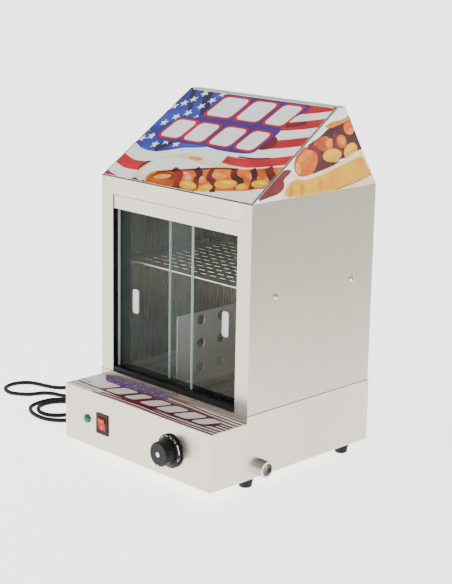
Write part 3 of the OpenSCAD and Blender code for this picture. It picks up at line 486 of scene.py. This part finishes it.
def roof_picture():
    border = [(-LOW_HALF, FILM_S0), (LOW_HALF, FILM_S0), (HIGH_HALF, FILM_S1), (-HIGH_HALF, FILM_S1)]
    stripes = [stripe([(40, 192 - d), (72, 192 - d), (100, 197 - d), (130, 206 - d), (170, 221 - d)], 9.5)
               for d in (0, 37, 78, 119)]
    stripes += [stripe([(-175, 51), (-150, 40), (-120, 32), (-84, 35)], 10),
                stripe([(-175, 10), (-150, 0), (-120, -8)], 10)]
    shadows = [sampled([(-100, 24), (-86, 26), (-84, 44), (-98, 43)]),
               sampled([(80, 108), (94, 106), (106, 118), (98, 132), (86, 134)]),
               stripe([(92, 160), (108, 164), (122, 172)], 4.5), stripe([(60, 84), (90, 86), (116, 92)], 1.6),
               sampled([(-90, 8), (-62, 4), (-74, -6), (-96, -4)])]
    field = sampled([(-175, 84), (-150, 76), (-128, 67), (-100, 66), (-78, 72), (-52, 83), (-16, 91),
                     (24, 110), (66, 130), (70, 150), (62, 224), (-175, 226)])
    folds = [stripe([(-112, 222), (-96, 190), (-74, 160)], 8),
             stripe([(-150, 226), (-132, 196), (-110, 164)], 4),
             stripe([(-104, 70), (-84, 96)], 9)]
    spots = [(-148, 88), (-134, 96), (-135, 128), (-147, 166), (-133, 176), (-122, 187), (-111, 203),
             (-94, 174), (-84, 190), (-107, 156), (-123, 144), (-112, 80), (-95, 90), (-72, 88), (-82, 148),
             (-20, 147), (-156, 108), (-157, 190), (-158, 152), (-75, 207), (36, 92)]
    stars = [star(x, y, 8.6, 7 * k) for k, (x, y) in enumerate(spots)]
    backing = sampled([(-128, 96), (-122, 122), (-110, 144), (-86, 148), (-78, 156), (-74, 182), (-66, 208),
                       (-20, 212), (40, 212), (100, 210), (102, 190), (92, 176), (88, 156), (92, 142),
                       (84, 112), (74, 94), (20, 90), (-22, 94), (-60, 92), (-100, 90)])
    upper = [(-42, 27), (18, 24), (72, 20)]
    lower = [(-96, 22), (-46, 22), (9, 23), (60, 19)]
    rims = [slab(x, 180, w + 2.6, 25.5, 0.2, 10) for x, w in upper]
    rims += [slab(x, 120, w + 2.6, 23.5, 0.2, 10) for x, w in lower]
    blocks = [slab(x, 180, w - 1.5, 22, 0.2, 8) for x, w in upper]
    blocks += [slab(x, 120, w - 1.5, 20, 0.2, 8) for x, w in lower]
    top_bun = sampled([(-94, 14), (-93, 34), (-82, 50), (-60, 66), (-20, 74), (30, 68), (90, 66), (160, 80),
                       (164, 60), (60, 46), (-20, 34), (-60, 22), (-72, 4)])
    toast = [ellipse(-70, 38, 14, 5, 40), ellipse(-12, 66, 15, 4), ellipse(-42, 50, 12, 4, 20),
             ellipse(-62, 10, 9, 4, -20)]
    gloss = sampled([(-88, 26), (-84, 44), (-64, 58), (-30, 62), (20, 56), (60, 56), (0, 44), (-56, 32),
                     (-80, 14)])
    sausage = sampled([(-68, 12), (-66, 24), (-42, 34), (-20, 40), (20, 51), (60, 57), (100, 64), (166, 80),
                       (166, 36), (110, 20), (60, 9), (20, 1), (-30, -3), (-56, 0)])
    tip = ellipse(-37, 14, 28, 16, 3)
    shine = [ellipse(-40, 20, 15, 5, 14), ellipse(-6, 30, 9, 6, 30), ellipse(6, 27, 11, 5, -20),
             ellipse(33, 28, 9, 6, -20), ellipse(58, 42, 15, 5, -4), ellipse(92, 43, 8, 6, -20),
             ellipse(114, 52, 14, 5, -10), ellipse(150, 53, 12, 5)]
    sauce = [stripe([(-34, 38), (-12, 30), (-4, 14), (2, 2)], 5.5),
             stripe([(6, 48), (22, 38), (24, 28), (38, 8)], 5),
             stripe([(36, 51), (44, 34), (58, 28), (74, 6)], 4.5),
             stripe([(74, 60), (84, 46), (104, 38), (108, 22)], 5),
             stripe([(104, 66), (118, 54), (126, 40), (132, 28)], 4.5),
             stripe([(128, 74), (142, 62), (160, 50)], 6),
             sampled([(-12, -4), (4, 8), (20, 2), (40, 4), (30, -6)]),
             stripe([(-60, 26), (-20, 38), (40, 54), (80, 60)], 2)]
    mustard = [ellipse(20, 13, 18, 7.5, -8), ellipse(54, 14, 12, 8, 12), ellipse(82, 29, 20, 9, 8),
               ellipse(112, 29, 9, 6.5, 6), ellipse(138, 41, 14, 8, 4)]
    bright = [ellipse(20, 15, 12, 3, -8), ellipse(56, 17, 7, 3, 12), ellipse(84, 32, 13, 3.5, 8),
              ellipse(140, 43, 9, 3, 4)]
    plate = sampled([(20, -8), (52, 2), (84, 12), (118, 20), (166, 34), (170, -20), (40, -20)])
    layers = [
        ("film_white", [border]),
        ("film_red", stripes),
        ("film_deep", shadows),
        ("film_blue", [field]),
        ("film_navy", folds),
        ("film_white", stars),
        ("film_purple", [backing]),
        ("film_red", rims),
        ("film_white", blocks),
        ("bun", [top_bun]),
        ("bun_gold", toast),
        ("film_white", [gloss]),
        ("sausage", [sausage, tip]),
        ("sausage_light", shine),
        ("sauce", sauce),
        ("mustard", mustard),
        ("mustard_light", bright),
        ("film_white", [plate]),
    ]
    picture("roof_picture", layers, on_lid, border, "roof_lid")


roof_picture()


# ---- Gable pictures: a close view of a hot dog ----

side_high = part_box("right_side")[1]
gable_low, gable_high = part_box("gable_films")
GABLE_H = (gable_high[2] - gable_low[2]) / MM
FRONT_RUN = (cap_low[1] - RIDGE_SETBACK - gable_low[1]) / MM
REAR_RUN = (cap_high[1] - gable_low[1]) / MM
GABLE_L = (gable_high[1] - gable_low[1]) / MM
GABLE_PAST_CAP = 2.2 * MM  # how far the gable's top edge stands out from the ridge cap's end
GABLE_LEAN = math.atan2(side_high[0] - cap_high[0] - GABLE_PAST_CAP, RIDGE.z - EAVE.z)


def gable_picture(side):
    """The same picture on the right gable (side 1) or the left one (side -1), from front to rear."""
    base_x = gable_high[0] if side > 0 else gable_low[0]
    up = Vector((-side * math.sin(GABLE_LEAN), 0, math.cos(GABLE_LEAN)))
    out = Vector((side * math.cos(GABLE_LEAN), 0, math.sin(GABLE_LEAN)))
    start = Vector((base_x, gable_low[1], gable_low[2] + FILM * math.sin(GABLE_LEAN)))

    def on_gable(y, h, lift):
        return start + Vector((0, y * MM, 0)) + up * (h * MM) + out * lift

    border = [(0.3, 0), (GABLE_L - 0.3, 0), (REAR_RUN - 2, GABLE_H - 0.5), (FRONT_RUN + 0.5, GABLE_H - 0.5)]
    patch = sampled([(10, 5), (34, 30), (62, 40), (76, 37), (61, 27), (62, 17), (50, 9), (30, 6)])
    dark = sampled([(108, 66), (136, 80), (160, 92), (204, 99), (228, 66), (226, 50), (206, 46), (170, 42),
                    (130, 28), (116, 34)])
    body = [sampled([(121, 70), (134, 78), (152, 78), (164, 64), (150, 58), (132, 62)]),
            sampled([(186, 92), (202, 97), (210, 88), (204, 77), (190, 80)]), ellipse(181, 69, 12, 9, -30)]
    tip = ellipse(106, 47, 25, 21, 18)
    shine = [ellipse(104, 56, 15, 6, 24), ellipse(156, 69, 8, 6, 20), ellipse(181, 70, 8, 5, -30),
             ellipse(202, 82, 8, 4, 20), ellipse(90, 40, 5, 9, 20)]
    sauce = [stripe([(110, 68), (128, 62), (136, 46), (126, 28)], 4),
             stripe([(168, 84), (166, 66), (184, 52)], 4)]
    black = sampled([(128, 30), (130, 44), (142, 42), (160, 40), (178, 42), (164, 36), (144, 31)])
    mustard = [ellipse(161, 51, 20, 9.5, -2), ellipse(201, 54, 15, 11, 14)]
    bright = [ellipse(160, 55, 14, 3.5, -2), ellipse(202, 58, 10, 4, 14)]
    top_bun = sampled([(146, 92), (160, 98), (182, 100), (203, 106), (200, 99), (180, 94), (160, 90)])
    low_bun = sampled([(60, 4), (62, 24), (72, 33), (100, 27), (140, 32), (176, 39), (208, 50), (230, 53),
                       (242, 38), (258, 8), (250, -6), (64, -6)])
    low_gold = sampled([(70, 2), (69, 18), (84, 24), (112, 22), (150, 28), (196, 38), (226, 42), (240, 24),
                        (252, 15), (210, 9), (172, 1)])
    toast = [ellipse(75, 8, 5, 7), ellipse(98, 8, 5, 9), ellipse(136, 12, 4, 9)]
    crust = stripe([(168, 1), (210, 7), (256, 17)], 1.4)
    layers = [
        ("film_white", [border]),
        ("film_deep", [patch]),
        ("side_sauce", [dark]),
        ("side_sausage", body + [tip]),
        ("side_shine", shine),
        ("film_deep", sauce),
        ("side_sauce", [black]),
        ("side_mustard", mustard),
        ("mustard", bright),
        ("side_gold", [top_bun]),
        ("bun", [low_bun]),
        ("side_mustard", [low_gold]),
        ("side_gold", toast + [crust]),
    ]
    picture("gable_picture_right" if side > 0 else "gable_picture_left", layers, on_gable, border, "root")


gable_picture(1)
gable_picture(-1)


# ---- Control box picture: stripes, stars and plain blocks ----

top_low, top_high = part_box("control_film")
TOP_W = (top_high[0] - top_low[0]) / MM
TOP_D = (top_high[1] - top_low[1]) / MM


def on_top(x, y, lift):
    """Millimetres right and back from the film's front left corner, to a place just above it."""
    return Vector((top_low[0] + x * MM, top_low[1] + y * MM, top_high[2] + lift))


def control_picture():
    border = [(0, 0), (TOP_W, 0), (TOP_W, TOP_D), (0, TOP_D)]
    lines = [[(60, 2), (150, 5), (230, 2), (330, 4)], [(70, 9), (110, 11), (170, 12), (230, 8), (330, 12)],
             [(4, 20), (60, 18), (150, 18), (220, 16), (330, 20)], [(278, 28), (330, 28)],
             [(284, 36), (330, 36)], [(280, 43), (330, 43)], [(150, 60), (200, 58), (260, 54), (330, 51)],
             [(140, 68), (200, 66), (250, 62), (330, 60)], [(180, 74), (240, 71), (330, 69)]]
    stripes = [stripe(line, 2.3) for line in lines]
    pale = [stripe([(2, 10), (60, 9)], 2), stripe([(0, 30), (26, 29)], 2)]
    field = sampled([(14, 74), (24, 58), (44, 48), (90, 48), (130, 44), (156, 44), (160, 60), (146, 74),
                     (80, 78)])
    stars = [star(36 + 20 * k + 7 * row, 56 + 9 * row, 2.8, 9 * k) for row in range(2) for k in range(6)]
    backing = sampled([(56, 20), (66, 46), (100, 54), (150, 56), (210, 55), (270, 53), (290, 44), (288, 24),
                       (250, 15), (180, 14), (110, 14)])
    upper = [(50, 15), (88, 16), (125, 11)]
    lower = [(163, 14), (199, 15), (236, 15), (270, 12)]
    blocks = [slab(x, 35, w, 14.5, 0.5, 6) for x, w in upper + lower]
    layers = [
        ("film_white", [border]),
        ("film_deep", stripes),
        ("film_pink", pale),
        ("film_purple", [field]),
        ("film_pink", stars),
        ("film_deep", [backing]),
        ("film_white", blocks),
    ]
    picture("control_picture", layers, on_top, border, "root")


control_picture()


# ---- Small pieces on the controls and doors ----

SKIN = 0.03 * MM  # how far a mark or an edge stands out from the face that it lies on


def box_in(bm, low, high):
    """A box between two corners."""
    verts = [bm.verts.new((x, y, z))
             for x in (low[0], high[0]) for y in (low[1], high[1]) for z in (low[2], high[2])]
    for face in ((0, 1, 3, 2), (4, 6, 7, 5), (0, 4, 5, 1), (2, 3, 7, 6), (0, 2, 6, 4), (1, 5, 7, 3)):
        bm.faces.new([verts[i] for i in face])


def door_edges(side):
    """Ground, pale green edges down both sides of a pane."""
    low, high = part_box(side + "_door_glass")
    past, depth = 0.05 * MM, 0.5 * MM

    def build(bm):
        for x0, x1 in ((low[0] - past, low[0] + depth), (high[0] - depth, high[0] + past)):
            box_in(bm, (x0, low[1] - SKIN, low[2]), (x1, high[1] + SKIN, high[2]))

    piece(side + "_door_edges", build, [M["glass_edge"]], side + "_door")


door_edges("left")
door_edges("right")


def painted_partition_highlight():
    """A painted highlight: a white strip for the bright cut edge at the front of the partition."""
    low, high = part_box("partition")

    def build(bm):
        box_in(bm, (low[0], low[1] - 0.02 * MM, low[2] + MM), (low[0] + 1.0 * MM, low[1] + 0.5 * MM, high[2]))

    piece("painted_partition_highlight", build, [M["white_ink_and_highlight"]], "root")


painted_partition_highlight()


def painted_shadows():
    """Painted shadow in the side bolts' sockets and along the front frame's mitres, on both sides."""
    bolt_low, bolt_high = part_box("side_bolts")
    post_low, post_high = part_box("right_stile")
    head_r, socket_depth, socket_r = 4.4 * MM, 1.7 * MM, 1.5
    bolt_z = (bolt_low[2] + bolt_high[2]) / 2
    inner, outer = post_low[0] - mid_x, post_high[0] - mid_x
    top, low = post_high[2], post_high[2] - (outer - inner)
    half = 0.22 * MM
    mitre_shadow = [(outer - half, top), (inner, low + half), (inner + half, low), (outer, top - half)]

    def build(bm):
        for side in (-1, 1):
            face = side * (bolt_high[0] - socket_depth - mid_x) + mid_x
            for y in (bolt_low[1] + head_r, bolt_high[1] - head_r):
                ring = [bm.verts.new((face, y + u * MM, bolt_z + v * MM))
                        for u, v in ellipse(0, 0, socket_r, socket_r, 0, 12)]
                bm.faces.new(ring if side > 0 else ring[::-1])
            line = [bm.verts.new((mid_x + side * x, post_low[1] - SKIN, z)) for x, z in mitre_shadow]
            bm.faces.new(line if side < 0 else line[::-1])

    piece("painted_shadows", build, [M["black_channel"]], "root")


painted_shadows()


def dial_marks():
    """White dots, blocks and an arc on the skirt, and the pointer on the knob's rim.

    The skirt slopes back toward its rim, so marks further out lie deeper."""
    skirt_low, skirt_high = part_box("dial_skirt")
    knob_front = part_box("dial_knob")[0][1]
    dial_x = (skirt_low[0] + skirt_high[0]) / 2
    dial_z = (skirt_low[2] + skirt_high[2]) / 2
    dot_turns, dot_ring, dot_depth = (132, 108, 84, 60, -14), 22.9, 0.8 * MM
    block_turns, block_ring, block_depth = (122, 98, 74, 50, -22), 21.7, 0.4 * MM
    arc_rings, arc_depth = ((23.6, range(2, 39, 4)), (20.4, range(38, 1, -4))), 0.5 * MM

    def spot(r, a):
        return r * math.cos(math.radians(a)), r * math.sin(math.radians(a))

    def flat(bm, shape, y):
        verts = [bm.verts.new((dial_x + x * MM, y, dial_z + z * MM)) for x, z in shape]
        bm.faces.new(verts[::-1])

    def build(bm):
        y = skirt_low[1] + 0.62 * MM
        for a in dot_turns:
            flat(bm, ellipse(*spot(dot_ring, a), 0.8, 0.8, 0, 14), y + dot_depth)
        flat(bm, [spot(r, a) for r, turns in arc_rings for a in turns], y + arc_depth)
        for a in block_turns:
            flat(bm, slab(*spot(block_ring, a), 0.8, 1.4, 0.0, 0.35), y + block_depth)
        flat(bm, [(-1.7, -17.6), (1.7, -17.6), (0, -14.2)], knob_front - SKIN)

    piece("dial_marks", build, [M["white_ink_and_highlight"]], "dial")


dial_marks()


def rocker_marks():
    """A bar on the rocker's upper face and a ring on its lower one."""
    low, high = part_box("switch_rocker")
    x, z = (low[0] + high[0]) / 2, (low[2] + high[2]) / 2
    pivot = low[1] + 6.35 * MM
    waist = -4.6
    upper_rise, upper_run = 1.75, 8.74
    lower_rise, lower_run = 0.9, 10.15
    ring_z, ring_outer, ring_inner, ring_count = -5, 1.9, 1.5, 20

    def at(dx, dz):
        face = waist - upper_rise * dz / upper_run if dz > 0 else waist - lower_rise * dz / lower_run
        return (x + dx * MM, pivot + (face - 0.05) * MM, z + dz * MM)

    def build(bm):
        bar = slab(0, 4.8, 0.35, 1.8, 0, 0.2)
        bm.faces.new([bm.verts.new(at(u, v)) for u, v in bar][::-1])
        a, b = ([bm.verts.new(at(u, v)) for u, v in ellipse(0, ring_z, r, r, 0, ring_count)]
                for r in (ring_outer, ring_inner))
        for k in range(ring_count):
            n = (k + 1) % ring_count
            bm.faces.new([a[k], b[k], b[n], a[n]])

    piece("rocker_marks", build, [M["white_ink_and_highlight"]], "rocker")


rocker_marks()


# ---- Mains cord ----

# The route is in millimetres from the middle of the base's front face. Its points were listed, then moved by
# up to 8 mm in whole millimetres to open the bends.
ORIGIN_X = 5.875
ORIGIN_Y = 84.5
CORD_D = 6.6
LOW = 3.5
ROUTE = [
    (-120, 299, 36), (-120, 314, 35), (-123, 332, 27), (-132, 350, 14), (-150, 366, 5),
    (-176, 373, LOW), (-213, 365, LOW), (-265, 335, LOW), (-307, 279, LOW), (-337, 216, LOW),
    (-360, 150, LOW), (-370, 106, LOW), (-384, 88, LOW), (-404, 81, LOW), (-435, 71, LOW),
    (-448, 47, LOW), (-438, 22, LOW), (-412, 14, LOW), (-386, 30, LOW), (-376, 51, LOW),
    (-363, 63, LOW), (-339, 71, LOW), (-326, 89, LOW), (-327, 113, LOW), (-327, 146, LOW),
    (-307, 164, LOW), (-277, 158, LOW), (-264, 130, LOW), (-280, 98, LOW), (-306, 82, LOW),
    (-325, 58, LOW), (-337, 42, LOW), (-339, 17, LOW), (-332, -4, LOW), (-315, -18, LOW),
    (-293, -25, LOW), (-267, -24, LOW), (-247, -12, LOW), (-234, 7, LOW), (-227, 27, LOW),
    (-205, 50, LOW), (-203, 81, LOW), (-224, 100, LOW), (-251, 95, LOW), (-266, 68, LOW),
    (-260, 37, LOW), (-263, 9, LOW), (-279, -8, LOW), (-301, -10, LOW), (-321, 3, LOW),
    (-328, 22, LOW), (-324, 41, LOW), (-311, 57, LOW), (-281, 83, LOW), (-233, 134, LOW),
    (-201, 173, LOW), (-185, 228, LOW), (-184, 276, LOW), (-171, 309, LOW), (-143, 322, LOW),
    (-110, 322, 4.5), (-80, 316, 9), (-55, 312, 13)]
CORD_STEPS = 8


def smooth_route():
    """The smooth curve through the route's points, straight at both ends, in metres in the part's frame."""
    points = [Vector(((x - ORIGIN_X) * MM, (y - ORIGIN_Y) * MM, z * MM)) for x, y, z in ROUTE]
    last = len(points) - 1
    out = []
    for i in range(last):
        p1, p2 = points[i], points[i + 1]
        p0 = points[i - 1] if i else 2 * p1 - p2
        p3 = points[i + 2] if i + 2 <= last else 2 * p2 - p1
        out += curve(p0, p1, p2, p3, CORD_STEPS)
    return out + [points[last]]


def make_cord():
    path = smooth_route()
    data = bpy.data.curves.new("mains_cord", "CURVE")
    data.dimensions = "3D"
    data.bevel_depth = CORD_D / 2 * MM
    data.bevel_resolution = 5
    data.use_fill_caps = True
    spline = data.splines.new("POLY")
    spline.points.add(len(path) - 1)
    for point, place in zip(spline.points, path):
        point.co = (*place, 1)
    data.materials.append(M["black_cord"])
    cord = bpy.data.objects.new("mains_cord", data)
    bpy.context.collection.objects.link(cord)
    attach(cord, "root")
    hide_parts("cord")


make_cord()


# ---- Floor and light ----

FLOOR_HALF = 40
DIM_AT = (1.15, 1.15, 0)
DIM_REACH = (0.1, 1.7)


def make_floor():
    """A floor that glows, so that it reads as pale under a low light. It's dimmer behind, to the right."""
    mesh = bpy.data.meshes.new("floor")
    half = FLOOR_HALF
    corners = [(-half, -half, 0), (half, -half, 0), (half, half, 0), (-half, half, 0)]
    mesh.from_pydata(corners, [], [(0, 1, 2, 3)])
    floor = bpy.data.objects.new("floor", mesh)
    bpy.context.collection.objects.link(floor)
    p = Paint("floor", (0.93, 0.93, 0.93), Roughness=0.9)
    p.to("Base Color", p.blend(p.noise(2.0), (0.95, 0.95, 0.95, 1), (0.97, 0.97, 0.97, 1)))
    p.shader.inputs["Emission Color"].default_value = (1, 1, 1, 1)
    away = p.add("ShaderNodeVectorMath", {0: p.where(), 1: DIM_AT}, operation="DISTANCE")
    p.to("Emission Strength", p.span(away.outputs["Value"], 1.5, 2.5, *DIM_REACH))
    mesh.materials.append(p.material)


DARK_WAY = (0.77, 0.62, 0.12)
DARK_RAMP = ((0.45, (1.0, 0.995, 0.985, 1)), (0.98, (0.05, 0.05, 0.045, 1)))
HORIZON = (("From Min", 0.02), ("From Max", 0.22), ("To Min", 2.6), ("To Max", 0.75))


def make_world():
    """A pale studio: brighter at the horizon, and dark one way, for the steel to reflect."""
    world = bpy.data.worlds.new("studio")
    bpy.context.scene.world = world
    world.use_nodes = True
    tree = world.node_tree
    background = tree.nodes["Background"]
    where = tree.nodes.new("ShaderNodeTexCoord").outputs["Generated"]
    toward = tree.nodes.new("ShaderNodeVectorMath")
    toward.operation = "DOT_PRODUCT"
    tree.links.new(where, toward.inputs[0])
    toward.inputs[1].default_value = DARK_WAY
    ramp = tree.nodes.new("ShaderNodeValToRGB")
    for element, (position, color) in zip(ramp.color_ramp.elements, DARK_RAMP):
        element.position = position
        element.color = color
    tree.links.new(toward.outputs["Value"], ramp.inputs["Fac"])
    tree.links.new(ramp.outputs["Color"], background.inputs["Color"])
    height = tree.nodes.new("ShaderNodeSeparateXYZ")
    tree.links.new(where, height.inputs[0])
    horizon = tree.nodes.new("ShaderNodeMapRange")
    for key, value in HORIZON:
        horizon.inputs[key].default_value = value
    tree.links.new(height.outputs["Z"], horizon.inputs["Value"])
    tree.links.new(horizon.outputs["Result"], background.inputs["Strength"])


def area(name, place, aim, size, power):
    """A soft box at place, turned toward aim."""
    data = bpy.data.lights.new(name, "AREA")
    data.shape = "RECTANGLE"
    data.size, data.size_y = size
    data.energy = power
    lamp = bpy.data.objects.new(name, data)
    lamp.location = place
    lamp.rotation_euler = (Vector(aim) - Vector(place)).to_track_quat("-Z", "Y").to_euler()
    bpy.context.collection.objects.link(lamp)


make_floor()
make_world()
area("key", (-1.6, -2.6, 2.4), (0, 0, 0.25), (2.2, 1.8), 26)
area("fill", (2.8, -1.0, 1.4), (0, 0, 0.25), (1.6, 1.6), 3)
area("top", (0.1, 0.2, 2.8), (0, 0, 0.3), (2.4, 2.4), 12)
